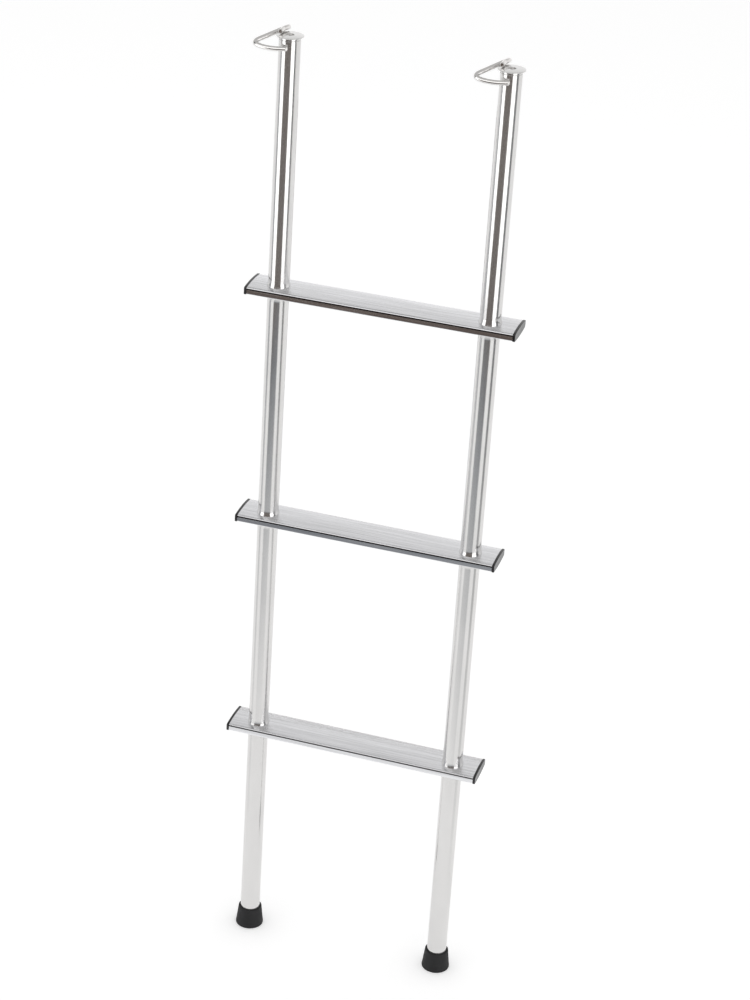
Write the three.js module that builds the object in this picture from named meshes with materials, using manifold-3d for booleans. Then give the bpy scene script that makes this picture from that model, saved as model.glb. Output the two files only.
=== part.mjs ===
// A hook-on boarding ladder: two polished aluminium tubes, three hollow extruded treads that the tubes
// pass through, and a bent-rod eye on each tube top. Millimetres, +Z up, treads along X, back towards +Y.
import * as THREE from 'three';
import { mergeVertices } from 'three/addons/utils/BufferGeometryUtils.js';
import Module from 'manifold-3d';

const wasm = await Module();
wasm.setup();

// Driving dimensions
const INCH = 25.4;
const LADDER_HEIGHT = 48 * INCH;
const RAIL_DIAMETER = 1 * INCH;
const RAIL_WALL = 1.65;
const RAIL_SPACING = 258.6;
const TREAD_LENGTH = 13 * INCH;
const TREAD_FRONT = 21.5;
const TREAD_BACK = 26.7;
const TREAD_WALL = 1.8;
const TREAD_CROWN = 2.0;
const TREAD_BELLY = 1.4;
const FRONT_FACE = 8.4;
const BACK_FACE = 8;
const FIRST_TREAD = 311.9;
const TREAD_RISE = 301.15;
const GAP = 0.3;
const MERGE_DISTANCE = 1e-4;

// Rails
const RAIL_RADIUS = RAIL_DIAMETER / 2;
const BORE_RADIUS = RAIL_RADIUS - RAIL_WALL;
const BEAD_RADIUS = RAIL_RADIUS + 1.1;
const BEAD_HEIGHT = 5;
const ROUND_SEGMENTS = 24;
const SMALL_SEGMENTS = 16;
const DOME_STEPS = 4;

// Treads and their end caps
const EDGE_RADIUS = 1.3;
const GROOVE_TOP = 1.5;
const GROOVE_HEIGHT = 1.6;
const GROOVE_DEPTH = 0.7;
const CAP_FLANGE = 3;
const CAP_PROUD = 0.5;
const CAP_PLUG = 9;
const CAP_PLUG_WALL = 1;

// Feet
const FOOT_HEIGHT = 27;
const FOOT_BOTTOM_RADIUS = 18;
const FOOT_TOP_RADIUS = 15.2;
const FOOT_FLOOR = 5;
const FOOT_CHAMFER = 0.8;
const FOOT_RIM = 1.2;
const SOLE_GROOVE = 1.2;
const WASHER_THICKNESS = 1.2;
const WASHER_HOLE = 4;

// Rail-top discs with their clamping screws and nuts
const DISC_RADIUS = 15.9;
const DISC_THICKNESS = 3.6;
const DISC_EDGE = 1;
const DISC_DOME = 0.8;
const PLUG_RADIUS = BORE_RADIUS - GAP;
const PLUG_BORE = 8.2;
const PLUG_WEB = 4;
const PLUG_LENGTH = 12;
const SCREW_RADIUS = 2.4;
const SCREW_LENGTH = 17;
const HEAD_RADIUS = 4.1;
const HEAD_THICKNESS = 2.4;
const HEAD_BELOW_EDGE = 0.6;
const SOCKET_RADIUS = 2.1;
const SOCKET_DEPTH = 1.7;
const NUT_THICKNESS = 4.5;

// Hooks: a rod bent to a pointed eye, from the rail's front round to the top of its disc
const ROD_RADIUS = 2.8;
const ROD_STEPS = 48;
const ROD_ARC_STEPS = 5;
const CURVE_STEPS = 5;

const RAIL_FOOT = FOOT_FLOOR + WASHER_THICKNESS + 2 * GAP;
const RAIL_TOP = LADDER_HEIGHT - DISC_THICKNESS - GAP;
const SIDES = { left: -1, right: 1 };
const TREADS = { lower: 0, middle: 1, upper: 2 };

const treadHeight = (step) => FIRST_TREAD + step * TREAD_RISE;

const finishes = {
  polished_aluminium: { color: 0xc9cbcf, roughness: 0.18, metalness: 1 },
  satin_aluminium: { color: 0xc2c4c8, roughness: 0.38, metalness: 1 },
  bright_steel: { color: 0xb9b9ba, roughness: 0.2, metalness: 1 },
  zinc_steel: { color: 0x9fa2a5, roughness: 0.4, metalness: 1 },
  black_plastic: { color: 0x161617, roughness: 0.45, metalness: 0 },
  black_rubber: { color: 0x2c2c2e, roughness: 0.8, metalness: 0 },
};

const materials = Object.fromEntries(
  Object.entries(finishes).map(([name, look]) => [name, new THREE.MeshStandardMaterial({ name, ...look })]),
);

const ladder = new THREE.Group();

function place(name, geometry, finish, x = 0, y = 0, z = 0) {
  const mesh = new THREE.Mesh(geometry, materials[finish]);
  mesh.name = name;
  mesh.position.set(x, y, z);
  ladder.add(mesh);
}

// Solids

function toSolid(geometry) {
  const bare = geometry.clone();
  bare.deleteAttribute('normal');
  bare.deleteAttribute('uv');
  const merged = mergeVertices(bare, MERGE_DISTANCE);
  return new wasm.Manifold(new wasm.Mesh({
    numProp: 3,
    vertProperties: Float32Array.from(merged.attributes.position.array),
    triVerts: Uint32Array.from(merged.index.array),
  }));
}

function toGeometry(solid) {
  const mesh = solid.getMesh();
  const geometry = new THREE.BufferGeometry();
  geometry.setAttribute('position', new THREE.BufferAttribute(mesh.vertProperties, 3));
  geometry.setIndex(new THREE.BufferAttribute(mesh.triVerts, 1));
  geometry.computeVertexNormals();
  return geometry;
}

// Turns a [radius, height] profile about the Z axis; the profile runs up its outer side.
function turned(profile, segments = ROUND_SEGMENTS) {
  const points = profile.map(([radius, height]) => new THREE.Vector2(radius, height));
  return new THREE.LatheGeometry(points, segments).rotateX(Math.PI / 2);
}

function cylinder(radius, bottom, top, segments = ROUND_SEGMENTS) {
  return turned([[0, bottom], [radius, bottom], [radius, top], [0, top]], segments);
}

// The profile of a flat ring.
function ring(inner, outer, bottom, top) {
  return [[inner, bottom], [outer, bottom], [outer, top], [inner, top], [inner, bottom]];
}

// Extrudes a shape drawn in the YZ plane along X, centred on the given X.
function extrudedAlongX(shape, length, centre = 0) {
  const toX = new THREE.Matrix4().makeBasis(
    new THREE.Vector3(0, 1, 0),
    new THREE.Vector3(0, 0, 1),
    new THREE.Vector3(1, 0, 0),
  );
  const geometry = new THREE.ExtrudeGeometry(shape, {
    depth: length,
    bevelEnabled: false,
    curveSegments: CURVE_STEPS,
  });
  return geometry.applyMatrix4(toX).translate(centre - length / 2, 0, 0);
}

// Rails

function railProfile() {
  const outside = [[RAIL_RADIUS, RAIL_FOOT]];
  for (const step of Object.values(TREADS)) {
    const below = treadHeight(step) - FRONT_FACE - TREAD_BELLY - GAP;
    const above = treadHeight(step) + TREAD_CROWN + GAP;
    outside.push([RAIL_RADIUS, below - BEAD_HEIGHT]);
    outside.push([BEAD_RADIUS, below - BEAD_HEIGHT / 3]);
    outside.push([BEAD_RADIUS, below]);
    outside.push([RAIL_RADIUS, below]);
    outside.push([RAIL_RADIUS, above]);
    outside.push([BEAD_RADIUS, above]);
    outside.push([BEAD_RADIUS, above + BEAD_HEIGHT / 3]);
    outside.push([RAIL_RADIUS, above + BEAD_HEIGHT]);
  }
  outside.push([RAIL_RADIUS, RAIL_TOP]);
  return [...outside, [BORE_RADIUS, RAIL_TOP], [BORE_RADIUS, RAIL_FOOT], [RAIL_RADIUS, RAIL_FOOT]];
}

// Treads

// The tread's section, crowned on top and bellied underneath, moved inwards by the inset.
function treadSection(inset, grooved = false) {
  const front = -TREAD_FRONT + inset;
  const back = TREAD_BACK - inset;
  const frontFoot = -FRONT_FACE + inset;
  const backFoot = -BACK_FACE + inset;
  const top = -inset;
  const round = Math.max(EDGE_RADIUS - inset, EDGE_RADIUS / 4);
  const middle = (front + back) / 2;
  const section = new THREE.Shape();
  section.moveTo(front + round, frontFoot);
  section.quadraticCurveTo(middle, (frontFoot + backFoot) / 2 - 2 * TREAD_BELLY, back - round, backFoot);
  section.quadraticCurveTo(back, backFoot, back, backFoot + round);
  section.lineTo(back, top - round);
  section.quadraticCurveTo(back, top, back - round, top);
  section.quadraticCurveTo(middle, top + 2 * TREAD_CROWN, front + round, top);
  section.quadraticCurveTo(front, top, front, top - round);
  if (grooved) {
    section.lineTo(front, -GROOVE_TOP);
    section.lineTo(front + GROOVE_DEPTH, -GROOVE_TOP);
    section.lineTo(front + GROOVE_DEPTH, -GROOVE_TOP - GROOVE_HEIGHT);
    section.lineTo(front, -GROOVE_TOP - GROOVE_HEIGHT);
  }
  section.lineTo(front, frontFoot + round);
  section.quadraticCurveTo(front, frontFoot, front + round, frontFoot);
  return section;
}

function treadGeometry() {
  const length = TREAD_LENGTH - 2 * (CAP_FLANGE + GAP);
  const section = treadSection(0, true);
  section.holes.push(treadSection(TREAD_WALL));
  let solid = toSolid(extrudedAlongX(section, length));
  for (const side of Object.values(SIDES)) {
    const reach = FRONT_FACE + TREAD_CROWN + TREAD_BELLY;
    const hole = cylinder(RAIL_RADIUS + GAP, -reach, reach).translate(side * RAIL_SPACING / 2, 0, 0);
    solid = solid.subtract(toSolid(hole));
  }
  return toGeometry(solid);
}

// An end cap on the +X end: a flange over the section and a hollow plug inside it.
function treadCapGeometry() {
  const outer = TREAD_LENGTH / 2;
  const flange = extrudedAlongX(treadSection(-CAP_PROUD), CAP_FLANGE, outer - CAP_FLANGE / 2);
  const plugSection = treadSection(TREAD_WALL + GAP);
  const plugLength = CAP_PLUG + CAP_FLANGE / 2;
  const plug = extrudedAlongX(plugSection, plugLength, outer - CAP_FLANGE / 2 - plugLength / 2);
  const hollow = new THREE.Shape();
  const edge = TREAD_WALL + GAP + CAP_PLUG_WALL;
  hollow.moveTo(-TREAD_FRONT + edge, -FRONT_FACE + edge);
  hollow.lineTo(0, -FRONT_FACE + edge);
  hollow.lineTo(0, -edge + TREAD_CROWN / 2);
  hollow.lineTo(-TREAD_FRONT + edge, -edge);
  const pocket = extrudedAlongX(hollow, CAP_PLUG, outer - CAP_FLANGE - CAP_PLUG / 2 - GAP);
  return toGeometry(toSolid(flange).add(toSolid(plug)).subtract(toSolid(pocket)));
}

// Feet

function footProfile() {
  const socket = RAIL_RADIUS + GAP;
  return [
    [0, SOLE_GROOVE],
    [FOOT_BOTTOM_RADIUS / 3, SOLE_GROOVE],
    [FOOT_BOTTOM_RADIUS / 3, 0],
    [FOOT_BOTTOM_RADIUS / 2, 0],
    [FOOT_BOTTOM_RADIUS / 2, SOLE_GROOVE],
    [FOOT_BOTTOM_RADIUS * 2 / 3, SOLE_GROOVE],
    [FOOT_BOTTOM_RADIUS * 2 / 3, 0],
    [FOOT_BOTTOM_RADIUS - FOOT_CHAMFER, 0],
    [FOOT_BOTTOM_RADIUS, FOOT_CHAMFER],
    [FOOT_BOTTOM_RADIUS, 3 * FOOT_CHAMFER],
    [FOOT_TOP_RADIUS, FOOT_HEIGHT - 2 * FOOT_RIM],
    [FOOT_TOP_RADIUS - FOOT_RIM / 4, FOOT_HEIGHT - FOOT_RIM / 2],
    [FOOT_TOP_RADIUS - FOOT_RIM, FOOT_HEIGHT],
    [socket, FOOT_HEIGHT],
    [socket, FOOT_FLOOR],
    [0, FOOT_FLOOR],
  ];
}

function washerProfile() {
  const bottom = FOOT_FLOOR + GAP;
  const top = bottom + WASHER_THICKNESS;
  return ring(WASHER_HOLE, RAIL_RADIUS, bottom, top);
}

// Rail-top discs, heights measured from the top of the disc's edge

function domeHeight(radius) {
  return DISC_DOME * (1 - (radius / DISC_RADIUS) ** 2);
}

function discProfile() {
  const hole = SCREW_RADIUS + GAP;
  const pocket = HEAD_RADIUS + GAP;
  const seat = -HEAD_THICKNESS - HEAD_BELOW_EDGE;
  const plugEnd = -DISC_THICKNESS - PLUG_LENGTH;
  const profile = [
    [hole, -DISC_THICKNESS - PLUG_WEB],
    [PLUG_BORE, -DISC_THICKNESS - PLUG_WEB],
    [PLUG_BORE, plugEnd],
    [PLUG_RADIUS, plugEnd],
    [PLUG_RADIUS, -DISC_THICKNESS],
    [RAIL_RADIUS + GAP, -DISC_THICKNESS],
    [DISC_RADIUS, -DISC_EDGE],
  ];
  for (let step = 0; step <= DOME_STEPS; step += 1) {
    const radius = DISC_RADIUS + (pocket - DISC_RADIUS) * (step / DOME_STEPS);
    profile.push([radius, domeHeight(radius)]);
  }
  profile.push([pocket, seat], [hole, seat], profile[0]);
  return profile;
}

function screwGeometry() {
  const top = -HEAD_BELOW_EDGE;
  const body = toSolid(turned([
    [0, -SCREW_LENGTH],
    [SCREW_RADIUS, -SCREW_LENGTH],
    [SCREW_RADIUS, top - HEAD_THICKNESS + GAP],
    [HEAD_RADIUS, top - HEAD_THICKNESS + GAP],
    [HEAD_RADIUS, top - GAP],
    [HEAD_RADIUS - GAP, top],
    [0, top],
  ], SMALL_SEGMENTS));
  const socket = toSolid(cylinder(SOCKET_RADIUS, top - SOCKET_DEPTH, top + 1, 6));
  return toGeometry(body.subtract(socket));
}

function nutProfile() {
  const top = -DISC_THICKNESS - PLUG_WEB - GAP;
  const bottom = top - NUT_THICKNESS;
  return ring(SCREW_RADIUS + GAP, PLUG_BORE - GAP, bottom, top);
}

// Hooks

// The rod's centre line, measured from the rail's axis at the top of the disc's edge: a bowed run from
// the rail's front, a round bend at the far end, a straight climb past the disc and a tight bend onto it.
function hookPath() {
  const besideRail = -(RAIL_RADIUS + ROD_RADIUS + GAP);
  const onDisc = DISC_DOME + ROD_RADIUS + GAP;
  const path = new THREE.CurvePath();
  const start = new THREE.Vector3(2, besideRail, -11.6);
  const bow = new THREE.Vector3(-19, besideRail - 1, -14.4);
  const farFront = new THREE.Vector3(-31, -14.8, -12.6);
  const farTip = new THREE.Vector3(-42.5, -13.2, -11);
  const farBack = new THREE.Vector3(-33.5, -6.9, -7);
  const climbTop = new THREE.Vector3(-10.7, 15.8, 2.3);
  const fold = new THREE.Vector3(-3.3, 22, 5);
  const landing = new THREE.Vector3(-7, 9, onDisc + 0.4);
  const end = new THREE.Vector3(-8.6, -3.5, onDisc);
  path.add(new THREE.QuadraticBezierCurve3(start, bow, farFront));
  path.add(new THREE.QuadraticBezierCurve3(farFront, farTip, farBack));
  path.add(new THREE.LineCurve3(farBack, climbTop));
  path.add(new THREE.QuadraticBezierCurve3(climbTop, fold, landing));
  path.add(new THREE.LineCurve3(landing, end));
  return path;
}

function rodSection() {
  const section = new THREE.Shape();
  section.absarc(0, 0, ROD_RADIUS, 0, 2 * Math.PI);
  return section;
}

function hookGeometry() {
  return new THREE.ExtrudeGeometry(rodSection(), {
    steps: ROD_STEPS,
    curveSegments: ROD_ARC_STEPS,
    extrudePath: hookPath(),
  });
}

// Assembly

for (const [sideName, side] of Object.entries(SIDES)) {
  const x = side * RAIL_SPACING / 2;
  place(`${sideName}_rail`, turned(railProfile()), 'polished_aluminium', x);
  place(`${sideName}_foot`, turned(footProfile()), 'black_rubber', x);
  place(`${sideName}_foot_washer`, turned(washerProfile()), 'zinc_steel', x);
  place(`${sideName}_top_disc`, turned(discProfile()), 'polished_aluminium', x, 0, LADDER_HEIGHT);
  place(`${sideName}_disc_screw`, screwGeometry(), 'bright_steel', x, 0, LADDER_HEIGHT);
  place(`${sideName}_disc_nut`, turned(nutProfile(), SMALL_SEGMENTS), 'zinc_steel', x, 0, LADDER_HEIGHT);
  place(`${sideName}_hook`, hookGeometry(), 'bright_steel', x, 0, LADDER_HEIGHT);
}

const tread = treadGeometry();
const rightCap = treadCapGeometry();
const leftCap = toGeometry(toSolid(rightCap).mirror([1, 0, 0]));
for (const [treadName, step] of Object.entries(TREADS)) {
  const height = treadHeight(step);
  place(`${treadName}_tread`, tread, 'satin_aluminium', 0, 0, height);
  place(`${treadName}_tread_left_cap`, leftCap, 'black_plastic', 0, 0, height);
  place(`${treadName}_tread_right_cap`, rightCap, 'black_plastic', 0, 0, height);
}

// The origin sits at the centre of the ladder's footprint, on the floor.
const extent = new THREE.Box3().setFromObject(ladder, true);
const centre = extent.getCenter(new THREE.Vector3());
ladder.position.set(-centre.x, -centre.y, -extent.min.z);

const object = new THREE.Group();
object.add(ladder);

export default object;
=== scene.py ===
import functools
import math

import bmesh
import bpy
from mathutils import Euler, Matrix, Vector


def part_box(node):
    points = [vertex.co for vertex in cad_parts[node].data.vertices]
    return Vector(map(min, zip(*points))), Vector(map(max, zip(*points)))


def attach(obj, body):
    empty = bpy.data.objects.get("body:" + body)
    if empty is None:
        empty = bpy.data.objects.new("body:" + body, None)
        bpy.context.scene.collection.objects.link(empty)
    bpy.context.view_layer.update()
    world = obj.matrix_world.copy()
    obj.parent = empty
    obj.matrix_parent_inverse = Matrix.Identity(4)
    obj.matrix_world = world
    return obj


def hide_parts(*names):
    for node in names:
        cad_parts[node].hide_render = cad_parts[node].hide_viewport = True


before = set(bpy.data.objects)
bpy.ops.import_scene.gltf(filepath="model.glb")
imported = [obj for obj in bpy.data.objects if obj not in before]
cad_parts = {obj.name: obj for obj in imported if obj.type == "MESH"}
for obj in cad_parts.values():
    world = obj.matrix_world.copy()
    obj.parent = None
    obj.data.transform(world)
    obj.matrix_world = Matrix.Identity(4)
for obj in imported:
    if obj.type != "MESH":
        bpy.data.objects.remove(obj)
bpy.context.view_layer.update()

bl_info = {
    "name": "Boarding Ladder",
    "version": (1, 0, 0),
    "blender": (4, 5, 0),
    "location": "View3D > Sidebar > Ladder",
    "description": "Dresses a hook-on boarding ladder with its finished pieces and its studio",
    "category": "Object",
}

MM = 0.001
SIDES = ("left", "right")
STEPS = ("lower", "middle", "upper")

# A length under this one counts as nothing.
AXIS_LIMIT = 1e-7

# How finely round and curved shapes are divided.
ROUND = 96
SCREW_SIDES = 48
ROD_SIDES = 28
FLARE_STEPS = 8
CROWN_STEPS = 24
RIBBED_CROWN_STEPS = 300
BELLY_STEPS = 12
CORNER_STEPS = 6
DOME_STEPS = 12
BEND_STEPS = 28
CARD_COLUMNS = 16
SMOOTH_ANGLE = math.radians(32)

# The treads. CAD_CROWN is how far a CAD tread's top stands over its top edges, and GROOVE_TOP is
# measured from those edges. FRONT_LEAN is the slope of the front face.
CAD_CROWN = 1.92 * MM
CORNER = 1.1 * MM
BACK_CORNER = 2.2 * MM
FLAT = 0.15 * MM
GROOVE_TOP = -1.2 * MM
GROOVE_HEIGHT = 1.5 * MM
GROOVE_DEPTH = 0.8 * MM
FRONT_LEAN = math.tan(math.radians(4))

# The rail-top discs.
DISC_THICKNESS = 3.6 * MM
DISC_DOME = 0.8 * MM

# A rod's end is rounded over this share of its radius, and narrows by this share.
END_REACH = 0.45
END_TAPER = 0.3

# The reflection cards, in metres: their distance from the ladder, the height of their aprons over the
# floor, where an apron is fully lit, and half the width of its change of colour.
CARD_DISTANCE = 2.1
APRON_LEVEL = 2 * MM
APRON_LIT = CARD_DISTANCE - 0.2
COLOUR_TURN = 0.15

# Half the floor's width, in metres.
FLOOR_REACH = 40


@functools.cache
def box(node):
    """A CAD node's low and high corners, read once before anything is hidden."""
    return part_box(node)


def linear(hex_colour):
    """The linear colour of an sRGB hex value such as 'c9cbcf'."""
    channels = [int(hex_colour[i:i + 2], 16) / 255 for i in (0, 2, 4)]
    return tuple(c / 12.92 if c <= 0.04045 else ((c + 0.055) / 1.055) ** 2.4 for c in channels)


# ---------------------------------------------------------------- sizes and colours


class LadderSizes(bpy.types.PropertyGroup):
    """The sizes that a user may want to change"""

    tube_radius: bpy.props.FloatProperty(
        name="Tube Radius", description="Outside radius of the rails", default=12.7 * MM, unit="LENGTH")
    tube_wall: bpy.props.FloatProperty(
        name="Tube Wall", description="Wall thickness of the rails", default=1.65 * MM, unit="LENGTH")
    flare: bpy.props.FloatProperty(
        name="Flare", description="How far a rail is swaged out against a tread", default=1.1 * MM,
        unit="LENGTH")
    flare_height: bpy.props.FloatProperty(
        name="Flare Height", description="Length of rail that each flare takes up", default=6 * MM,
        unit="LENGTH")
    crown: bpy.props.FloatProperty(
        name="Tread Crown", description="Rise of the tread's top over its edges", default=1.8 * MM,
        unit="LENGTH")
    front_face: bpy.props.FloatProperty(
        name="Front Face", description="Height of the tread's front face", default=8.4 * MM, unit="LENGTH")
    back_face: bpy.props.FloatProperty(
        name="Back Face", description="Height of the tread's back face", default=8 * MM, unit="LENGTH")
    belly: bpy.props.FloatProperty(
        name="Tread Belly", description="Drop of the tread's underside below its edges", default=1.4 * MM,
        unit="LENGTH")
    tread_wall: bpy.props.FloatProperty(
        name="Tread Wall", description="Wall thickness of the extrusion", default=1.8 * MM, unit="LENGTH")
    rib_pitch: bpy.props.FloatProperty(
        name="Rib Pitch", description="Spacing of the fine grip lines along a tread", default=1.6 * MM,
        unit="LENGTH")
    rib_height: bpy.props.FloatProperty(
        name="Rib Height", description="Height of the fine grip lines", default=0.12 * MM, unit="LENGTH")
    rod_radius: bpy.props.FloatProperty(
        name="Rod Radius", description="Radius of the hook rod", default=2.8 * MM, unit="LENGTH")
    gap: bpy.props.FloatProperty(
        name="Gap", description="Clearance between pieces that touch", default=0.3 * MM, unit="LENGTH")


class LadderColours(bpy.types.PropertyGroup):
    """The base colour of each finish"""

    tube: bpy.props.FloatVectorProperty(
        name="Tube", description="Polished aluminium of the rails", subtype="COLOR",
        default=linear("d9d8d7"))
    tread: bpy.props.FloatVectorProperty(
        name="Tread", description="Satin aluminium of the treads", subtype="COLOR",
        default=linear("ebebed"))
    rod: bpy.props.FloatVectorProperty(
        name="Rod", description="Bright steel of the hooks and screws", subtype="COLOR",
        default=linear("e2e0de"))
    zinc: bpy.props.FloatVectorProperty(
        name="Zinc", description="Zinc plate of the hidden washers and nuts", subtype="COLOR",
        default=linear("b3b7b8"))
    plastic: bpy.props.FloatVectorProperty(
        name="Plastic", description="Black plastic of the end caps", subtype="COLOR",
        default=linear("131314"))
    rubber: bpy.props.FloatVectorProperty(
        name="Rubber", description="Black rubber of the feet", subtype="COLOR", default=linear("101012"))
    floor: bpy.props.FloatVectorProperty(
        name="Floor", description="Studio floor", subtype="COLOR", default=linear("fbfbfb"))


def sizes():
    return bpy.context.scene.ladder_sizes


def colours():
    return bpy.context.scene.ladder_colours


# ---------------------------------------------------------------- nodes and materials


def add_node(tree, kind, values=None, links=None, **settings):
    """Adds a node, sets its properties and input values, and links outputs into its inputs."""
    node = tree.nodes.new(kind)
    for name, value in settings.items():
        setattr(node, name, value)
    for socket, value in (values or {}).items():
        node.inputs[socket].default_value = value
    for socket, sources in (links or {}).items():
        for source in sources if isinstance(sources, list) else [sources]:
            tree.links.new(source, node.inputs[socket])
    return node


def new_material(name):
    """An empty material and its node tree."""
    material = bpy.data.materials.new(name)
    material.use_nodes = True
    material.node_tree.nodes.clear()
    return material, material.node_tree


def noise(tree, size, detail):
    """Noise over the piece's own coordinates; size is the grain along X, Y and Z in metres."""
    place = add_node(tree, "ShaderNodeTexCoord")
    scaled = add_node(tree, "ShaderNodeMapping", {"Scale": [1 / s for s in size]},
                      {"Vector": place.outputs["Object"]})
    return add_node(tree, "ShaderNodeTexNoise", {"Scale": 1.0, "Detail": detail},
                    {"Vector": scaled.outputs["Vector"]}).outputs["Fac"]


def spread(tree, source, low, high):
    """Maps the useful middle of a noise to the range low to high."""
    return add_node(tree, "ShaderNodeMapRange",
                    {"From Min": 0.3, "From Max": 0.7, "To Min": low, "To Max": high},
                    {"Value": source}).outputs["Result"]


def tinted(tree, source, dark, light):
    """A colour between two linear colours, by a factor."""
    mix = add_node(tree, "ShaderNodeMix", {"A": (*dark, 1), "B": (*light, 1)}, {"Factor": source},
                   data_type="RGBA")
    return mix.outputs["Result"]


def varied(tree, source, colour, dark, light):
    """A linear colour that a noise carries between two multiples of itself."""
    shades = [tuple(min(1.0, channel * factor) for channel in colour) for factor in (dark, light)]
    return tinted(tree, spread(tree, source, 0, 1), *shades)


def finish_material(tree, values, links, bump=None):
    """Ends a tree in a Principled surface, with an optional (height, depth in metres) bump."""
    if bump:
        height, depth = bump
        relief = add_node(tree, "ShaderNodeBump", {"Strength": 1.0, "Distance": depth}, {"Height": height})
        links = {**links, "Normal": relief.outputs["Normal"]}
    surface = add_node(tree, "ShaderNodeBsdfPrincipled", values, links)
    add_node(tree, "ShaderNodeOutputMaterial", links={"Surface": surface.outputs["BSDF"]})


def polished_drawn_aluminium():
    """Drawn tube, buffed and clear anodised: mirror bands down its length, with their edges softened by
    fine die lines and a little haze from handling. It is a little less than fully metallic for the pale
    film of the anodising."""
    material, tree = new_material("polished_drawn_aluminium")
    die_lines = noise(tree, (0.5 * MM, 0.5 * MM, 160 * MM), 3)
    haze = noise(tree, (22 * MM, 22 * MM, 60 * MM), 4)
    colour = varied(tree, haze, colours().tube, 0.96, 1.03)
    finish_material(tree, {"Metallic": 0.88},
                    {"Base Color": colour, "Roughness": spread(tree, haze, 0.12, 0.17)},
                    (die_lines, 0.006 * MM))
    return material


def satin_extruded_aluminium():
    """Etched and anodised extrusion: a soft sheen that smears reflections across its lengthwise lines. The
    faces marked as groove are painted matt black, a painted shade for the inside of the groove."""
    material, tree = new_material("satin_extruded_aluminium")
    die_lines = noise(tree, (120 * MM, 0.45 * MM, 0.45 * MM), 3)
    streaks = noise(tree, (90 * MM, 2.2 * MM, 2.2 * MM), 3)
    metal = varied(tree, streaks, colours().tread, 0.86, 1.08)
    # Painted shade: the marked groove faces get a near-black, non-metallic colour in place of the shade
    # inside the groove.
    groove = add_node(tree, "ShaderNodeAttribute", attribute_name="groove").outputs["Fac"]
    colour = add_node(tree, "ShaderNodeMix", {"B": (*linear("1b1b1c"), 1)}, {"Factor": groove, "A": metal},
                      data_type="RGBA").outputs["Result"]
    bare = add_node(tree, "ShaderNodeMath", {0: 1.0}, {1: groove}, operation="SUBTRACT")
    finish_material(tree, {},
                    {"Base Color": colour, "Metallic": bare.outputs[0],
                     "Roughness": spread(tree, streaks, 0.1, 0.17)},
                    (die_lines, 0.008 * MM))
    return material


def bright_drawn_steel():
    """Stainless rod, drawn and tumbled bright: hard black and white reflections with faint draw marks."""
    material, tree = new_material("bright_drawn_steel")
    marks = noise(tree, (1.1 * MM, 1.1 * MM, 1.1 * MM), 4)
    smears = noise(tree, (9 * MM, 9 * MM, 9 * MM), 3)
    colour = varied(tree, smears, colours().rod, 0.94, 1.04)
    finish_material(tree, {"Metallic": 1.0},
                    {"Base Color": colour, "Roughness": spread(tree, smears, 0.12, 0.22)},
                    (marks, 0.006 * MM))
    return material


def zinc_plated_steel():
    """Barrel-plated zinc: a cool grey with a fine crystalline mottle."""
    material, tree = new_material("zinc_plated_steel")
    mottle = noise(tree, (1.6 * MM, 1.6 * MM, 1.6 * MM), 5)
    colour = varied(tree, mottle, colours().zinc, 0.8, 1.1)
    finish_material(tree, {"Metallic": 1.0},
                    {"Base Color": colour, "Roughness": spread(tree, mottle, 0.3, 0.5)},
                    (mottle, 0.01 * MM))
    return material


def moulded_black_polyethylene():
    """Injection-moulded cap plastic: near black, a low sheen and the fine pebble of a spark-eroded mould.
    The pebble is drawn at 0.7 mm, coarser than the real one, so that it shows."""
    material, tree = new_material("moulded_black_polyethylene")
    pebble = noise(tree, (0.7 * MM, 0.7 * MM, 0.7 * MM), 2)
    bloom = noise(tree, (12 * MM, 12 * MM, 12 * MM), 3)
    colour = varied(tree, bloom, colours().plastic, 0.85, 1.3)
    finish_material(tree, {"IOR": 1.51},
                    {"Base Color": colour, "Roughness": spread(tree, bloom, 0.2, 0.27)},
                    (pebble, 0.006 * MM))
    return material


def moulded_black_rubber():
    """Compression-moulded rubber: matt charcoal with a dusty bloom and a grain drawn at 0.9 mm to show."""
    material, tree = new_material("moulded_black_rubber")
    grain = noise(tree, (0.9 * MM, 0.9 * MM, 0.9 * MM), 3)
    bloom = noise(tree, (9 * MM, 9 * MM, 5 * MM), 4)
    colour = varied(tree, bloom, colours().rubber, 0.85, 1.5)
    finish_material(tree, {"IOR": 1.52, "Specular IOR Level": 0.38},
                    {"Base Color": colour, "Roughness": spread(tree, bloom, 0.55, 0.72)},
                    (grain, 0.03 * MM))
    return material


FINISHES = {
    "polished_aluminium": polished_drawn_aluminium,
    "satin_aluminium": satin_extruded_aluminium,
    "bright_steel": bright_drawn_steel,
    "zinc_steel": zinc_plated_steel,
    "black_plastic": moulded_black_polyethylene,
    "black_rubber": moulded_black_rubber,
}


def finish_for(slot):
    """The material for one of the record's slots, made once."""
    name = FINISHES[slot].__name__
    return bpy.data.materials.get(name) or FINISHES[slot]()


# ---------------------------------------------------------------- mesh helpers


def smooth(mesh):
    """Shades a mesh smooth, except over its sharp edges."""
    mesh.polygons.foreach_set("use_smooth", [True] * len(mesh.polygons))
    mesh.set_sharp_from_angle(angle=SMOOTH_ANGLE)


def show(name, mesh):
    """Puts a mesh in the scene."""
    piece = bpy.data.objects.new(name, mesh)
    bpy.context.scene.collection.objects.link(piece)
    return piece


def hand_over(piece, slot, node):
    """Gives a finished piece its material and its body, and hides the CAD node that it stands for."""
    piece.data.materials.clear()
    piece.data.materials.append(finish_for(slot))
    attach(piece, "root")
    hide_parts(node)


def ring_of(bm, radius, height, centre, segments):
    """A ring of vertices about a vertical axis, or one vertex on it."""
    if radius < AXIS_LIMIT:
        return [bm.verts.new((centre[0], centre[1], height))]
    angles = [i * 2 * math.pi / segments for i in range(segments)]
    return [
        bm.verts.new((centre[0] + radius * math.cos(a), centre[1] + radius * math.sin(a), height))
        for a in angles
    ]


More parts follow.
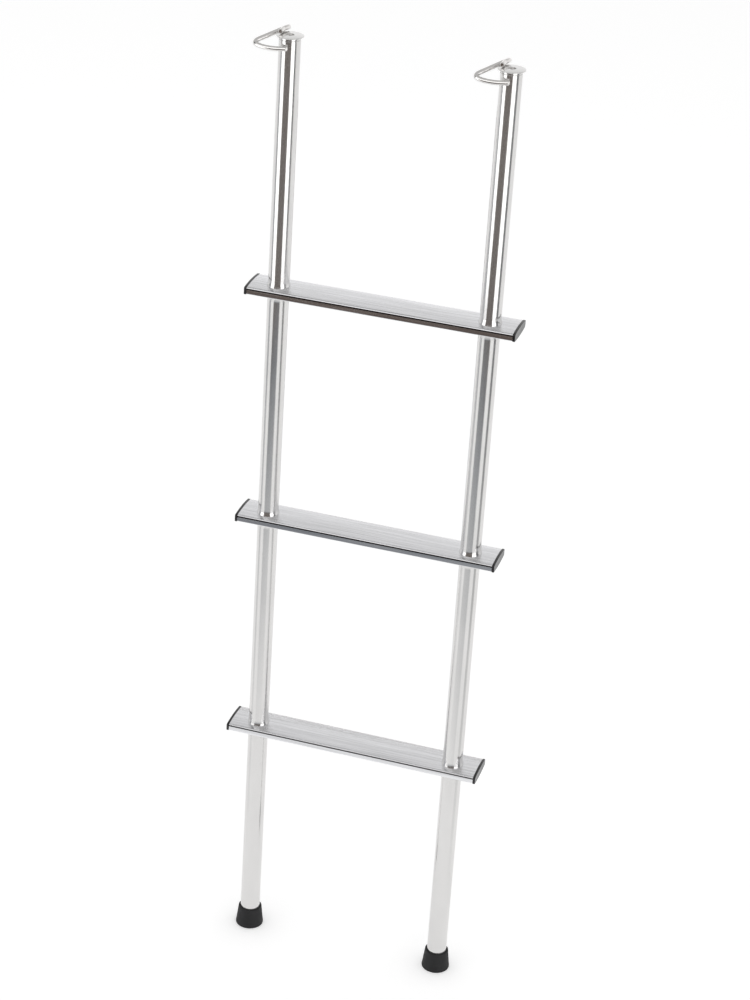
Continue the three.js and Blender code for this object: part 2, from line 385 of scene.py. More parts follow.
def join_rings(bm, lower, upper):
    """Closes the strip between two rings, or the fan between a ring and one vertex."""
    count = max(len(lower), len(upper))
    for i in range(count):
        j = (i + 1) % count
        below = [lower[i % len(lower)], lower[j % len(lower)]]
        above = [upper[j % len(upper)], upper[i % len(upper)]]
        face = list(dict.fromkeys(below + above))
        if len(face) > 2:
            bm.faces.new(face)


def turned(profile, centre, segments=ROUND):
    """A mesh turned about a vertical axis from (radius, height) points that run up the outside. The
    profile starts and ends on the axis, or closes on itself."""
    bm = bmesh.new()
    closed = profile[0][0] >= AXIS_LIMIT
    rings = [ring_of(bm, radius, height, centre, segments) for radius, height in profile]
    if closed:
        rings.append(rings[0])
    for lower, upper in zip(rings, rings[1:]):
        join_rings(bm, lower, upper)
    mesh = bpy.data.meshes.new("turned")
    bm.to_mesh(mesh)
    bm.free()
    smooth(mesh)
    return mesh


def arc(centre, radius, start, end, count):
    """Points on an arc, angles in degrees."""
    angles = [math.radians(start + (end - start) * i / count) for i in range(count + 1)]
    return [(centre[0] + radius * math.cos(a), centre[1] + radius * math.sin(a)) for a in angles]


def lofted(rings):
    """A closed mesh through rings of (x, y, z) points that all have the same count."""
    bm = bmesh.new()
    loops = [[bm.verts.new(point) for point in ring] for ring in rings]
    for lower, upper in zip(loops, loops[1:]):
        join_rings(bm, lower, upper)
    bm.faces.new(reversed(loops[0]))
    bm.faces.new(loops[-1])
    bmesh.ops.recalc_face_normals(bm, faces=bm.faces)
    mesh = bpy.data.meshes.new("lofted")
    bm.to_mesh(mesh)
    bm.free()
    smooth(mesh)
    return mesh


def combined(name, meshes):
    """One object from several meshes."""
    bm = bmesh.new()
    for mesh in meshes:
        bm.from_mesh(mesh)
    mesh = bpy.data.meshes.new(name)
    bm.to_mesh(mesh)
    bm.free()
    smooth(mesh)
    return show(name, mesh)


def solved(name, source, tree, inputs):
    """Runs a Geometry Nodes tree on an object and returns its result as a plain mesh object."""
    modifier = source.modifiers.new(tree.name, "NODES")
    modifier.node_group = tree
    items = tree.interface.items_tree
    sockets = {item.name: item.identifier for item in items if item.in_out == "INPUT"}
    for label, value in inputs.items():
        modifier[sockets[label]] = value
    bpy.context.view_layer.update()
    evaluated = source.evaluated_get(bpy.context.evaluated_depsgraph_get())
    mesh = bpy.data.meshes.new_from_object(evaluated)
    source.modifiers.remove(modifier)
    bpy.data.objects.remove(source)
    mesh.name = name
    smooth(mesh)
    return show(name, mesh)


def new_tree(name, inputs):
    """A Geometry Nodes tree with a Geometry input, the named inputs and a Geometry output."""
    tree = bpy.data.node_groups.new(name, "GeometryNodeTree")
    tree.interface.new_socket("Geometry", in_out="INPUT", socket_type="NodeSocketGeometry")
    for label, kind in inputs.items():
        tree.interface.new_socket(label, in_out="INPUT", socket_type=kind)
    tree.interface.new_socket("Geometry", in_out="OUTPUT", socket_type="NodeSocketGeometry")
    return tree, add_node(tree, "NodeGroupInput").outputs


def end_tree(tree, geometry, material):
    """Ends a tree in real geometry with its material set."""
    real = add_node(tree, "GeometryNodeRealizeInstances", links={"Geometry": geometry})
    painted = add_node(tree, "GeometryNodeSetMaterial",
                       links={"Geometry": real.outputs["Geometry"], "Material": material})
    add_node(tree, "NodeGroupOutput", links={"Geometry": painted.outputs["Geometry"]})


# ---------------------------------------------------------------- rails


def centre_of(node):
    """The plan position of a CAD node's middle."""
    low, high = box(node)
    return (low[0] + high[0]) / 2, (low[1] + high[1]) / 2


@functools.cache
def tread_level(step):
    """The height of a tread's top edges, which its crown rises from."""
    return box(f"{step}_tread")[1][2] - CAD_CROWN


def tread_half_depth():
    """Half of a tread's measure from front to back."""
    low, high = box("middle_tread")
    return (high[1] - low[1]) / 2


def crown_height(y):
    """How far the tread's top stands over its edges at y."""
    return sizes().crown * (1 - (y / tread_half_depth()) ** 2)


def rail_profile(side):
    """A tube's section, with a flare that swells towards each tread from below and from above."""
    s = sizes()
    bottom, top = box(f"{side}_rail")[0][2], box(f"{side}_rail")[1][2]
    bore = s.tube_radius - s.tube_wall
    lip = 0.5 * MM
    profile = [(s.tube_radius - lip, bottom), (s.tube_radius, bottom + lip)]
    for step in STEPS:
        under = tread_level(step) - s.front_face - s.belly - s.gap
        over = tread_level(step) + s.crown + s.rib_height
        swell = [(s.tube_radius + s.flare * t ** 2, s.flare_height * (1 - t))
                 for t in [i / FLARE_STEPS for i in range(FLARE_STEPS + 1)]]
        profile += [(r, under - lip - h) for r, h in swell]
        profile += [(s.tube_radius + s.flare, under), (s.tube_radius, under), (s.tube_radius, over)]
        profile += [(s.tube_radius + s.flare, over)]
        profile += [(r, over + lip + h) for r, h in reversed(swell)]
    profile += [(s.tube_radius, top - lip), (s.tube_radius - lip, top), (bore, top), (bore, bottom)]
    return profile


def seat_flares(mesh):
    """Lowers each flare's rim onto the crown of the tread under it."""
    s = sizes()
    for vertex in mesh.vertices:
        for step in STEPS:
            height = vertex.co.z - tread_level(step) - s.crown - s.rib_height
            if -AXIS_LIMIT < height < s.flare_height:
                drop = s.crown - crown_height(vertex.co.y)
                vertex.co.z -= drop * (1 - height / s.flare_height)


class LADDER_OT_rails(bpy.types.Operator):
    """Make the two tube rails, swaged out above and below each tread"""

    bl_idname = "ladder.rails"
    bl_label = "Rails"

    def execute(self, context):
        for side in SIDES:
            mesh = turned(rail_profile(side), centre_of(f"{side}_rail"))
            seat_flares(mesh)
            smooth(mesh)
            hand_over(show(f"{side}_rail_tube", mesh), "polished_aluminium", f"{side}_rail")
        return {"FINISHED"}


# ---------------------------------------------------------------- treads


def tread_outline(inset, ribbed=False):
    """The tread's section as (y, z) points, anticlockwise, moved in by the inset; z is 0 at its top edges.
    The corners' arcs stop a few degrees short where the crown and the belly leave them. Short flats beside
    the corners keep the shading of the faces between them flat."""
    s = sizes()
    front, back = -tread_half_depth() + inset, tread_half_depth() - inset
    front_foot, back_foot = -s.front_face + inset, -s.back_face + inset
    corner = max(CORNER - inset, 0.3 * MM)
    back_corner = max(BACK_CORNER - inset, 0.5 * MM)
    reach = (back - front) / 2 - 1.2 * corner
    belly = [
        (reach * t, front_foot + (back_foot - front_foot) * (t + 1) / 2 - s.belly * (1 - t * t))
        for t in [i / BELLY_STEPS for i in range(1 - BELLY_STEPS, BELLY_STEPS - 1)]
    ]
    points = [(front, front_foot + corner + FLAT)]
    points += arc((front + corner, front_foot + corner), corner, 180, 264, CORNER_STEPS)
    points += belly
    points += arc((back - back_corner, back_foot + back_corner), back_corner, 278, 360, CORNER_STEPS)
    points += arc((back - corner, -inset - corner), corner, 0, 82, CORNER_STEPS)
    steps = RIBBED_CROWN_STEPS if ribbed else CROWN_STEPS
    reach = back - 1.6 * corner
    for i in range(steps + 1):
        y = reach - 2 * reach * i / steps
        rise = s.crown * (1 - (y / (back + 0.6 * corner)) ** 2) - inset
        if ribbed:
            fade = min(1.0, (reach - abs(y)) / s.rib_pitch)
            rise += s.rib_height * fade * (0.5 - 0.5 * math.cos(2 * math.pi * y / s.rib_pitch))
        points.append((y, rise))
    points += arc((front + corner, -inset - corner), corner, 98, 180, CORNER_STEPS)
    return points


def front_lean(z):
    """How far the front face leans back at a height under the top edge."""
    return FRONT_LEAN * (z + sizes().front_face)


def grooved(outline):
    """Leans the outline's front face back and cuts the narrow groove under its nose."""
    front = -tread_half_depth()
    leaning = [(y + front_lean(z), z) if y < front + 2 * MM else (y, z) for y, z in outline]
    top, bottom = GROOVE_TOP, GROOVE_TOP - GROOVE_HEIGHT
    return leaning + [
        (front + front_lean(top), top),
        (front + front_lean(top) + GROOVE_DEPTH, top),
        (front + front_lean(bottom) + GROOVE_DEPTH, bottom),
        (front + front_lean(bottom), bottom),
    ]


def mark_groove(mesh, level):
    """Marks the groove's faces, which the tread's material paints near black as painted shade."""
    marks = mesh.attributes.new("groove", "FLOAT", "FACE")
    front = -tread_half_depth()
    slack = 0.01 * MM
    for face, mark in zip(mesh.polygons, marks.data):
        z = face.center.z - level
        inwards = face.center.y - front - front_lean(z)
        in_height = GROOVE_TOP - GROOVE_HEIGHT - AXIS_LIMIT < z < GROOVE_TOP + AXIS_LIMIT
        mark.value = float(in_height and AXIS_LIMIT < inwards < GROOVE_DEPTH + slack)


def section_face(name, outer, inner, x):
    """A flat face in the YZ plane between an outer and an inner outline."""
    bm = bmesh.new()
    for outline in (outer, inner):
        corners = [bm.verts.new((x, y, z)) for y, z in outline]
        for start, end in zip(corners, corners[1:] + corners[:1]):
            bm.edges.new((start, end))
    bmesh.ops.triangle_fill(bm, use_beauty=True, use_dissolve=False, edges=bm.edges[:],
                            normal=(1, 0, 0))
    mesh = bpy.data.meshes.new(name)
    bm.to_mesh(mesh)
    bm.free()
    return show(name, mesh)


def extrusion_tree():
    """Extrudes a flat section along X, closes it with the section turned over, lifts it to its level and
    drills it for the two rails."""
    tree, given = new_tree("drilled_extrusion", {
        "Length": "NodeSocketFloat",
        "Level": "NodeSocketFloat",
        "Hole Radius": "NodeSocketFloat",
        "Left Hole": "NodeSocketVector",
        "Right Hole": "NodeSocketVector",
        "Material": "NodeSocketMaterial",
    })
    run = add_node(tree, "ShaderNodeCombineXYZ", links={"X": given["Length"]})
    swept = add_node(tree, "GeometryNodeExtrudeMesh", {"Individual": False, "Offset Scale": 1.0},
                     {"Mesh": given["Geometry"], "Offset": run.outputs["Vector"]}, mode="FACES")
    turned_over = add_node(tree, "GeometryNodeFlipFaces", links={"Mesh": given["Geometry"]})
    closed = add_node(tree, "GeometryNodeJoinGeometry",
                      links={"Geometry": [swept.outputs["Mesh"], turned_over.outputs["Mesh"]]})
    welded = add_node(tree, "GeometryNodeMergeByDistance", {"Distance": 0.001 * MM},
                      {"Geometry": closed.outputs["Geometry"]})
    lift = add_node(tree, "ShaderNodeCombineXYZ", links={"Z": given["Level"]})
    body = add_node(tree, "GeometryNodeTransform",
                    links={"Geometry": welded.outputs["Geometry"], "Translation": lift.outputs["Vector"]})
    drill = add_node(tree, "GeometryNodeMeshCylinder", {"Vertices": ROUND, "Depth": 60 * MM},
                     {"Radius": given["Hole Radius"]})
    drills = [
        add_node(tree, "GeometryNodeTransform",
                 links={"Geometry": drill.outputs["Mesh"], "Translation": given[hole]}).outputs["Geometry"]
        for hole in ("Left Hole", "Right Hole")
    ]
    cut = add_node(tree, "GeometryNodeMeshBoolean",
                   links={"Mesh 1": body.outputs["Geometry"], "Mesh 2": drills},
                   operation="DIFFERENCE", solver="EXACT")
    end_tree(tree, cut.outputs["Mesh"], given["Material"])
    return tree


class LADDER_OT_treads(bpy.types.Operator):
    """Extrude the hollow treads with their grip lines and drill them for the rails"""

    bl_idname = "ladder.treads"
    bl_label = "Treads"

    def execute(self, context):
        s = sizes()
        tree = extrusion_tree()
        outer, inner = grooved(tread_outline(0, ribbed=True)), tread_outline(s.tread_wall)
        for step in STEPS:
            low, high = box(f"{step}_tread")
            level = tread_level(step)
            section = section_face(step, outer, inner, low[0])
            piece = solved(f"{step}_tread_extrusion", section, tree, {
                "Length": high[0] - low[0],
                "Level": level,
                "Hole Radius": s.tube_radius + s.gap / 2,
                "Left Hole": (*centre_of("left_rail"), level),
                "Right Hole": (*centre_of("right_rail"), level),
                "Material": finish_for("satin_aluminium"),
            })
            mark_groove(piece.data, level)
            hand_over(piece, "satin_aluminium", f"{step}_tread")
        return {"FINISHED"}


class LADDER_OT_tread_caps(bpy.types.Operator):
    """Make the moulded end caps, each a soft-edged flange with a plug inside the tread"""

    bl_idname = "ladder.tread_caps"
    bl_label = "Tread End Caps"

    def execute(self, context):
        s = sizes()
        proud = -0.5 * MM
        plug = s.tread_wall + s.gap
        # Millimetres in from the cap's outer face, and the inset of the outline there in metres
        stations = [
            (12.0, plug + 0.5 * MM),
            (11.5, plug),
            (3.0, plug),
            (3.0, proud + 0.3 * MM),
            (2.7, proud),
            (0.9, proud),
            (0.6, proud + 0.05 * MM),
            (0.3, proud + 0.2 * MM),
            (0.1, proud + 0.45 * MM),
            (0.0, proud + 0.9 * MM),
            (0.08, proud + 1.8 * MM),
        ]
        for step in STEPS:
            for side, sign in zip(SIDES, (-1, 1)):
                node = f"{step}_tread_{side}_cap"
                low, high = box(node)
                outer_face = high[0] if side == "right" else low[0]
                level = tread_level(step)
                rings = [
                    [(outer_face - sign * depth * MM, y, level + z) for y, z in tread_outline(inset)]
                    for depth, inset in stations
                ]
                hand_over(show(f"{step}_{side}_end_cap", lofted(rings)), "black_plastic", node)
        return {"FINISHED"}


# ---------------------------------------------------------------- feet


def foot_profile():
    """A foot's section: a sole with a middle ring and a rim, tapered sides and a socket for the tube."""
    s = sizes()
    bottom, top, height = 18 * MM, 15.2 * MM, 27 * MM
    recess, slope = 1.2 * MM, 0.2 * MM
    ring_inside, ring_outside, rim_inside = 6 * MM, 9 * MM, 12 * MM
    edge, skirt, step = 1 * MM, 2.6 * MM, 0.25 * MM
    shoulder, mouth = 1.2 * MM, 0.5 * MM
    socket, socket_floor = s.tube_radius + s.gap / 2, 5 * MM
    profile = [(0, recess), (ring_inside, recess), (ring_inside + slope, 0)]
    profile += [(ring_outside - slope, 0), (ring_outside, recess)]
    profile += [(rim_inside, recess), (rim_inside + slope, 0)]
    profile += arc((bottom - edge, edge), edge, 270, 360, 6)
    profile += [(bottom, skirt), (bottom - step, skirt + 2 * step)]
    profile += arc((top - shoulder, height - shoulder), shoulder, 6, 90, 6)
    profile += arc((socket + mouth, height - mouth), mouth, 90, 180, 3)
    profile += [(socket, socket_floor), (0, socket_floor)]
    return profile


def lug_tree():
    """Sets rubber lugs in a circle, each turned to face outwards."""
    tree, given = new_tree("sole_lugs", {
        "Count": "NodeSocketInt",
        "Circle Radius": "NodeSocketFloat",
        "Lug Size": "NodeSocketVector",
        "Centre": "NodeSocketVector",
        "Material": "NodeSocketMaterial",
    })
    circle = add_node(tree, "GeometryNodeMeshCircle",
                      links={"Vertices": given["Count"], "Radius": given["Circle Radius"]})
    lug = add_node(tree, "GeometryNodeMeshCube", links={"Size": given["Lug Size"]})
    position = add_node(tree, "GeometryNodeInputPosition")
    outward = add_node(tree, "FunctionNodeAlignRotationToVector",
                       links={"Vector": position.outputs["Position"]}, axis="X", pivot_axis="Z")
    lugs = add_node(tree, "GeometryNodeInstanceOnPoints",
                    links={"Points": circle.outputs["Mesh"], "Instance": lug.outputs["Mesh"],
                           "Rotation": outward.outputs["Rotation"]})
    placed = add_node(tree, "GeometryNodeTransform",
                      links={"Geometry": lugs.outputs["Instances"], "Translation": given["Centre"]})
    end_tree(tree, placed.outputs["Geometry"], given["Material"])
    return tree


class LADDER_OT_feet(bpy.types.Operator):
    """Mould the tapered rubber feet with their ringed and lugged soles"""

    bl_idname = "ladder.feet"
    bl_label = "Feet"

    def execute(self, context):
        tree = lug_tree()
        lug_size, clear_of_floor = (2.9 * MM, 1.6 * MM, 1.3 * MM), 0.1 * MM
        for side in SIDES:
            centre = centre_of(f"{side}_foot")
            lugs = solved(f"{side}_lugs", show("blank", bpy.data.meshes.new("blank")), tree, {
                "Count": 14,
                "Circle Radius": 10.5 * MM,
                "Lug Size": lug_size,
                "Centre": (*centre, clear_of_floor + lug_size[2] / 2),
                "Material": finish_for("black_rubber"),
            })
            foot = combined(f"{side}_rubber_foot", [turned(foot_profile(), centre), lugs.data])
            bpy.data.objects.remove(lugs)
            hand_over(foot, "black_rubber", f"{side}_foot")
        return {"FINISHED"}


# ---------------------------------------------------------------- rail-top discs


def disc_edge_height(side):
    """The top of a disc's edge, from which its profile is measured."""
    return box(f"{side}_rail")[1][2] + sizes().gap + DISC_THICKNESS


def disc_profile(edge):
    """A disc's section: a plug with room for the nut, a collar, a domed top and a pocket for the screw."""
    s = sizes()
    plug, plug_bottom = s.tube_radius - s.tube_wall - s.gap, -15.6 * MM
    nut_room, nut_room_top = 8.2 * MM, -7.6 * MM
    collar_top, undercut = -2 * MM, (0.4 * MM, 0.5 * MM)
    radius, rim = 15.9 * MM, 0.5 * MM
    bore, pocket, pocket_floor, bevel = 2.7 * MM, 4.4 * MM, -3 * MM, 0.3 * MM
    profile = [(bore, nut_room_top), (nut_room, nut_room_top), (nut_room, plug_bottom)]
    profile += [(plug, plug_bottom), (plug, -DISC_THICKNESS), (s.tube_radius, -DISC_THICKNESS)]
    profile += [(s.tube_radius, collar_top), (s.tube_radius + undercut[0], collar_top + undercut[1])]
    profile += arc((radius - rim, -rim), rim, -60, 90, 10)
    outside, inside = radius - rim, pocket + bevel
    for i in range(1, DOME_STEPS + 1):
        r = outside + (inside - outside) * i / DOME_STEPS
        profile.append((r, DISC_DOME * (1 - (r / radius) ** 2)))
    profile += [(pocket, profile[-1][1] - bevel), (pocket, pocket_floor), (bore, pocket_floor)]
    return [(r, edge + z) for r, z in profile]


def screw_mesh(side, edge):
    """A button head with a six-sided socket, on a plain shank."""
    centre = centre_of(f"{side}_disc_screw")
    shank, tip, chamfer = 2.4 * MM, -17 * MM, 0.4 * MM
    head, under, top, shoulder = 4.1 * MM, -2.7 * MM, -0.6 * MM, 0.6 * MM
    socket, depth, land = 2.1 * MM, 3.6 * MM, 0.5 * MM
    profile = [(0, tip), (shank - chamfer, tip), (shank, tip + chamfer), (shank, under)]
    profile += [(head, under), (head, top - shoulder)]
    profile += arc((head - shoulder, top - shoulder), shoulder, 10, 90, 5)
    profile += [(socket + land, top), (0, top)]
    outside = turned([(r, edge + z) for r, z in profile], centre, SCREW_SIDES)
    low, high = edge + top - depth, edge + top + 1 * MM
    hexagon = turned([(0, low), (socket, low), (socket, high), (0, high)], centre, 6)
    screw = show("screw_blank", outside)
    cutter = show("screw_cutter", hexagon)
    cut = screw.modifiers.new("socket", "BOOLEAN")
    cut.operation = "DIFFERENCE"
    cut.solver = "EXACT"
    cut.object = cutter
    bpy.context.view_layer.update()
    evaluated = screw.evaluated_get(bpy.context.evaluated_depsgraph_get())
    mesh = bpy.data.meshes.new_from_object(evaluated)
    bpy.data.objects.remove(screw)
    bpy.data.objects.remove(cutter)
    smooth(mesh)
    return mesh


class LADDER_OT_top_discs(bpy.types.Operator):
    """Turn the domed discs that close the rail tops, with their socket screws"""

    bl_idname = "ladder.top_discs"
    bl_label = "Rail-top Discs"

    def execute(self, context):
        for side in SIDES:
            edge = disc_edge_height(side)
            disc = show(f"{side}_domed_disc", turned(disc_profile(edge), centre_of(f"{side}_top_disc")))
            hand_over(disc, "polished_aluminium", f"{side}_top_disc")
            screw = show(f"{side}_socket_screw", screw_mesh(side, edge))
            hand_over(screw, "bright_steel", f"{side}_disc_screw")
        return {"FINISHED"}


# ---------------------------------------------------------------- hooks


def bend(start, corner, end, count):
    """Points along a rod bent round a corner."""
    start, corner, end = Vector(start), Vector(corner), Vector(end)
    parts = [i / count for i in range(count)]
    return [start * (1 - t) ** 2 + corner * 2 * t * (1 - t) + end * t ** 2 for t in parts]


def straight(start, end, count):
    """Points along a straight length of rod."""
    return bend(start, (Vector(start) + Vector(end)) / 2, end, count)


def hook_line(side):
    """The rod's centre line: a bowed run from the rail's front, a round bend at the far end, a straight
    climb past the disc and a fold onto it. Millimetres from the rail's axis at the disc's edge."""
    s = sizes()
    beside = -(s.tube_radius + s.rod_radius + s.gap) / MM
    on_disc = (DISC_DOME + s.rod_radius + s.gap) / MM
    start, far_front, far_back = (2, beside, -11.6), (-31, -14.8, -12.6), (-33.5, -6.9, -7)
    climb_top, landing, end = (-11.7, 15.2, 2.3), (-10.5, 6.5, on_disc + 0.4), (-10.4, -4.5, on_disc)
    bow, eye, fold = (-19, beside - 1, -14.4), (-42, -13.2, -11), (-4.6, 21.9, 4.7)
    line = bend(start, bow, far_front, BEND_STEPS)
    line += bend(far_front, eye, far_back, BEND_STEPS)
    line += straight(far_back, climb_top, 12)
    line += bend(climb_top, fold, landing, BEND_STEPS)
    line += straight(landing, end, 8)
    line.append(Vector(end))
    origin = Vector((*centre_of(f"{side}_rail"), disc_edge_height(side)))
    return [origin + point * MM for point in line]


def path_object(points):
    """An open line through the points, as a curve object."""
    curve = bpy.data.curves.new("rod_line", "CURVE")
    curve.dimensions = "3D"
    spline = curve.splines.new("POLY")
    spline.points.add(len(points) - 1)
    for place, point in zip(spline.points, points):
        place.co = (*point, 1)
    path = bpy.data.objects.new("rod_line", curve)
    bpy.context.scene.collection.objects.link(path)
    return path


def rod_tree():
    """Runs a round rod along a line and rounds over its two ends."""
    tree, given = new_tree("round_rod", {
        "Rod Radius": "NodeSocketFloat",
        "Step": "NodeSocketFloat",
        "Material": "NodeSocketMaterial",
    })
    line = add_node(tree, "GeometryNodeResampleCurve",
                    links={"Curve": given["Geometry"], "Length": given["Step"]}, mode="LENGTH")
    run = add_node(tree, "GeometryNodeSplineParameter").outputs["Length"]
    total = add_node(tree, "GeometryNodeSplineLength").outputs["Length"]
    left = add_node(tree, "ShaderNodeMath", links={0: total, 1: run}, operation="SUBTRACT")
    nearest = add_node(tree, "ShaderNodeMath", links={0: run, 1: left.outputs[0]}, operation="MINIMUM")
    reach = add_node(tree, "ShaderNodeMath", {1: END_REACH}, {0: given["Rod Radius"]}, operation="MULTIPLY")
    from_end = add_node(tree, "ShaderNodeMath", links={0: nearest.outputs[0], 1: reach.outputs[0]},
                        operation="DIVIDE", use_clamp=True)
    short = add_node(tree, "ShaderNodeMath", {0: 1.0}, {1: from_end.outputs[0]}, operation="SUBTRACT")
    squared = add_node(tree, "ShaderNodeMath", {1: 2.0}, {0: short.outputs[0]}, operation="POWER")
    rounding = add_node(tree, "ShaderNodeMath", {1: -END_TAPER, 2: 1.0}, {0: squared.outputs[0]},
                        operation="MULTIPLY_ADD")
    section = add_node(tree, "GeometryNodeCurvePrimitiveCircle", {"Resolution": ROD_SIDES},
                       {"Radius": given["Rod Radius"]})
    rod = add_node(tree, "GeometryNodeCurveToMesh", {"Fill Caps": True},
                   {"Curve": line.outputs["Curve"], "Profile Curve": section.outputs["Curve"],
                    "Scale": rounding.outputs[0]})
    end_tree(tree, rod.outputs["Mesh"], given["Material"])
    return tree


class LADDER_OT_hooks(bpy.types.Operator):
    """Bend the rod hooks from the front of each rail round to the top of its disc"""

    bl_idname = "ladder.hooks"
    bl_label = "Hooks"

    def execute(self, context):
        tree = rod_tree()
        for side in SIDES:
            hook = solved(f"{side}_rod_hook", path_object(hook_line(side)), tree, {
                "Rod Radius": sizes().rod_radius,
                "Step": 0.35 * MM,
                "Material": finish_for("bright_steel"),
            })
            hand_over(hook, "bright_steel", f"{side}_hook")
        return {"FINISHED"}


# ---------------------------------------------------------------- hidden hardware


class LADDER_OT_hardware(bpy.types.Operator):
    """Plate the foot washers and disc nuts, which keep their CAD shapes"""

    bl_idname = "ladder.hardware"
    bl_label = "Washers and Nuts"

    def execute(self, context):
        for side in SIDES:
            for part in ("foot_washer", "disc_nut"):
                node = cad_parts[f"{side}_{part}"]
                node.data.materials.clear()
                node.data.materials.append(finish_for("zinc_steel"))
        return {"FINISHED"}


# ---------------------------------------------------------------- studio


def glowing(name, colours_out, strength, fade):
    """A light source that fades in between two distances from the ladder, fade = (near, far). Its colour
    changes from the first of two to the second about the far one."""
    material, tree = new_material(name)
    place = add_node(tree, "ShaderNodeTexCoord")
    flat = add_node(tree, "ShaderNodeVectorMath", {1: (1, 1, 0)}, {0: place.outputs["Object"]},
                    operation="MULTIPLY")
    distance = add_node(tree, "ShaderNodeVectorMath", links={0: flat.outputs[0]}, operation="LENGTH")
    shown = add_node(tree, "ShaderNodeMapRange", {"From Min": fade[0], "From Max": fade[1]},
                     {"Value": distance.outputs["Value"]})
    turning = add_node(tree, "ShaderNodeMapRange",
                       {"From Min": fade[1] - COLOUR_TURN, "From Max": fade[1] + COLOUR_TURN},
                       {"Value": distance.outputs["Value"]})
    colour = tinted(tree, turning.outputs["Result"], *colours_out)
    light = add_node(tree, "ShaderNodeEmission", {"Strength": strength}, {"Color": colour})
    clear = add_node(tree, "ShaderNodeBsdfTransparent")
    mixed = add_node(tree, "ShaderNodeMixShader",
                     links={0: shown.outputs["Result"], 1: clear.outputs[0], 2: light.outputs[0]})
    add_node(tree, "ShaderNodeOutputMaterial", links={"Surface": mixed.outputs[0]})
    return material


def studio_card(name, bearings, colours_out, strength, near, heights):
    """A curved card round the ladder, from one bearing to another in degrees (0 is the front, 90 the
    right) and from one height to another. A card that starts at the floor also has an apron along it,
    which fades in from the near distance. Only glossy surfaces see it."""
    bm = bmesh.new()
    start, end = bearings
    columns = []
    for i in range(CARD_COLUMNS + 1):
        bearing = math.radians(start + (end - start) * i / CARD_COLUMNS)
        out = Vector((math.sin(bearing), -math.cos(bearing), 0))
        stops = [out * CARD_DISTANCE + Vector((0, 0, height)) for height in heights]
        if heights[0] == APRON_LEVEL:
            stops.insert(0, out * near + Vector((0, 0, APRON_LEVEL)))
        columns.append([bm.verts.new(stop) for stop in stops])
    for one, two in zip(columns, columns[1:]):
        for j in range(len(one) - 1):
            bm.faces.new((one[j], one[j + 1], two[j + 1], two[j]))
    mesh = bpy.data.meshes.new(name)
    bm.to_mesh(mesh)
    bm.free()
    mesh.materials.append(glowing(name, colours_out, strength, (near, APRON_LIT)))
    card = show(name, mesh)
    card.visible_camera = False
    card.visible_diffuse = False
    card.visible_shadow = False
    card.visible_transmission = False


def pale_floor():
    """Matt white acrylic, faintly lit from behind: an even white without gloss, which takes only soft
    shadows."""
    mesh = bpy.data.meshes.new("studio_floor")
    corners = [(x * FLOOR_REACH, y * FLOOR_REACH, 0) for x, y in ((-1, -1), (1, -1), (1, 1), (-1, 1))]
    mesh.from_pydata(corners, [], [(0, 1, 2, 3)])
    material, tree = new_material("back_lit_matt_acrylic")
    finish_material(tree, {
        "Base Color": (*colours().floor, 1),
        "Roughness": 1.0,
        "Specular IOR Level": 0.0,
        "Emission Color": (1, 1, 1, 1),
        "Emission Strength": 0.25,
    }, {})
    mesh.materials.append(material)
    show("studio_floor", mesh)


def soft_sky():
    """A surround that goes from white at the sides to grey overhead."""
    world = bpy.data.worlds.new("soft_surround")
    world.use_nodes = True
    tree = world.node_tree
    tree.nodes.clear()
    place = add_node(tree, "ShaderNodeTexCoord")
    height = add_node(tree, "ShaderNodeSeparateXYZ", links={"Vector": place.outputs["Generated"]})
    shown = add_node(tree, "ShaderNodeMapRange",
                     {"From Min": 0.3, "From Max": 0.7, "To Min": 1.06, "To Max": 0.6},
                     {"Value": height.outputs["Z"]})
    sky = add_node(tree, "ShaderNodeBackground", {"Color": (1, 1, 1, 1)},
                   {"Strength": shown.outputs["Result"]})
    add_node(tree, "ShaderNodeOutputWorld", links={"Surface": sky.outputs[0]})
    bpy.context.scene.world = world


def overhead_light(height, width, watts):
    """A wide square light over the ladder, which shines straight down and is in no reflection."""
    light = bpy.data.lights.new("overhead_light", "AREA")
    light.shape = "RECTANGLE"
    light.size = light.size_y = width
    light.energy = watts
    lamp = bpy.data.objects.new("overhead_light", light)
    bpy.context.scene.collection.objects.link(lamp)
    lamp.location = (0, 0, height)
    lamp.visible_glossy = False


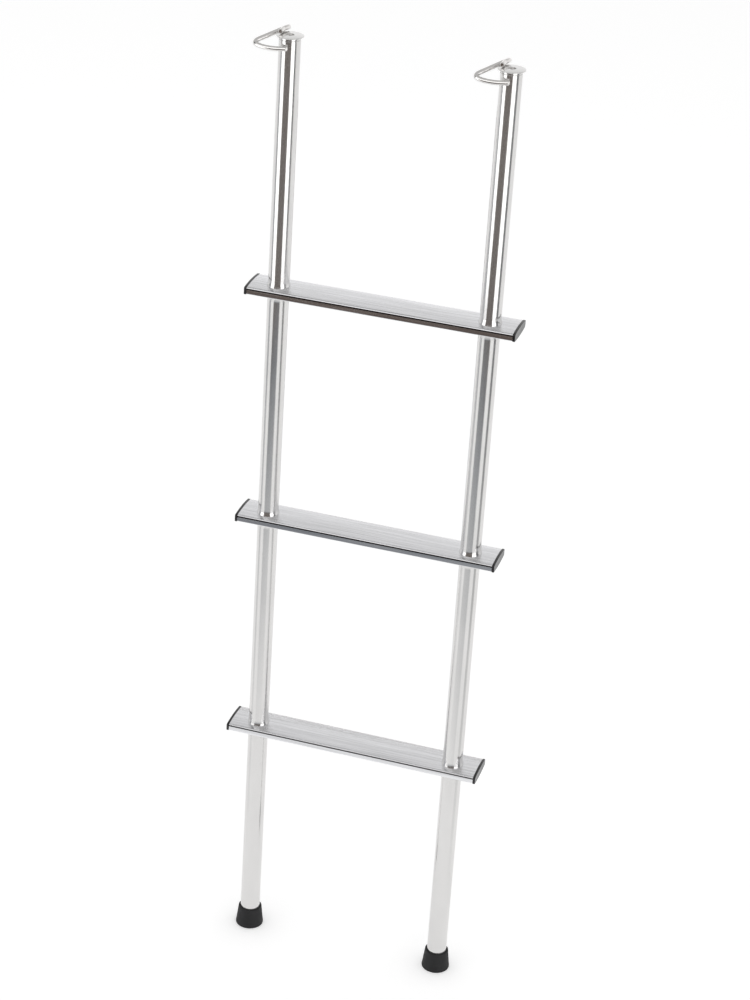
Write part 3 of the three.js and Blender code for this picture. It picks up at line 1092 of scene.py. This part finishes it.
class LADDER_OT_stage(bpy.types.Operator):
    """Set the pale floor, the soft surround, the cards that the metal reflects, and the camera"""

    bl_idname = "ladder.stage"
    bl_label = "Studio"

    def execute(self, context):
        pale_floor()
        soft_sky()
        overhead_light(height=4.5, width=5, watts=30)
        white, cool = (1, 1, 1), (0.93, 0.96, 1)
        slate, umber = linear("59626c"), linear("625852")
        # A dark card in front, and a low one behind.
        studio_card("dark_front", bearings=(-31, 35), colours_out=(slate, umber), strength=0.95,
                    near=0.46, heights=(APRON_LEVEL, 1.25))
        studio_card("dark_back", bearings=(180, 215), colours_out=(slate, umber), strength=0.95,
                    near=0.46, heights=(APRON_LEVEL, 0.45))
        # White cards on both sides of the dark one, then dimmer ones with aprons along the floor.
        studio_card("white_right", bearings=(35, 72), colours_out=(white, white), strength=2.2,
                    near=1.0, heights=(0.1, 1.2))
        studio_card("white_left", bearings=(-63, -31), colours_out=(white, white), strength=2.2,
                    near=1.0, heights=(0.1, 1.1))
        studio_card("grey_right", bearings=(72, 96), colours_out=(cool, cool), strength=0.18,
                    near=0.3, heights=(APRON_LEVEL, 1.6))
        studio_card("grey_left", bearings=(-84, -63), colours_out=(cool, cool), strength=0.5,
                    near=0.3, heights=(APRON_LEVEL, 1.6))
        # Over them, a white one in front and a dark one on the left.
        studio_card("white_over", bearings=(-46, 20), colours_out=(white, white), strength=1.5,
                    near=1.0, heights=(1.65, 3.4))
        studio_card("dark_over", bearings=(-84, -48), colours_out=(slate, slate), strength=0.08,
                    near=1.0, heights=(1.9, 3.1))
        # A long lens to the front right of the ladder, looking down on it.
        data = bpy.data.cameras.new("camera")
        data.lens = 95.3
        data.sensor_width = 36
        camera = bpy.data.objects.new("camera", data)
        camera.location = (0.7763, -2.7500, 2.1095)
        camera.rotation_euler = Euler([math.radians(a) for a in (63.0, -3.392, 17.355)])
        context.scene.collection.objects.link(camera)
        context.scene.camera = camera
        context.scene.view_settings.view_transform = "Standard"
        return {"FINISHED"}


# ---------------------------------------------------------------- add-on


PIECES = (
    LADDER_OT_rails,
    LADDER_OT_treads,
    LADDER_OT_tread_caps,
    LADDER_OT_feet,
    LADDER_OT_top_discs,
    LADDER_OT_hooks,
    LADDER_OT_hardware,
    LADDER_OT_stage,
)


class LADDER_PT_panel(bpy.types.Panel):
    bl_label = "Boarding Ladder"
    bl_idname = "LADDER_PT_panel"
    bl_space_type = "VIEW_3D"
    bl_region_type = "UI"
    bl_category = "Ladder"

    def draw(self, context):
        for group in (context.scene.ladder_sizes, context.scene.ladder_colours):
            column = self.layout.column()
            for name in group.__annotations__:
                column.prop(group, name)
        for piece in PIECES:
            self.layout.operator(piece.bl_idname)


CLASSES = (LadderSizes, LadderColours, *PIECES, LADDER_PT_panel)


def register():
    for cls in CLASSES:
        bpy.utils.register_class(cls)
    bpy.types.Scene.ladder_sizes = bpy.props.PointerProperty(type=LadderSizes)
    bpy.types.Scene.ladder_colours = bpy.props.PointerProperty(type=LadderColours)


def unregister():
    del bpy.types.Scene.ladder_colours
    del bpy.types.Scene.ladder_sizes
    for cls in reversed(CLASSES):
        bpy.utils.unregister_class(cls)


def main():
    register()
    for piece in PIECES:
        group, action = piece.bl_idname.split(".")
        getattr(getattr(bpy.ops, group), action)()


if __name__ == "__main__":
    main()
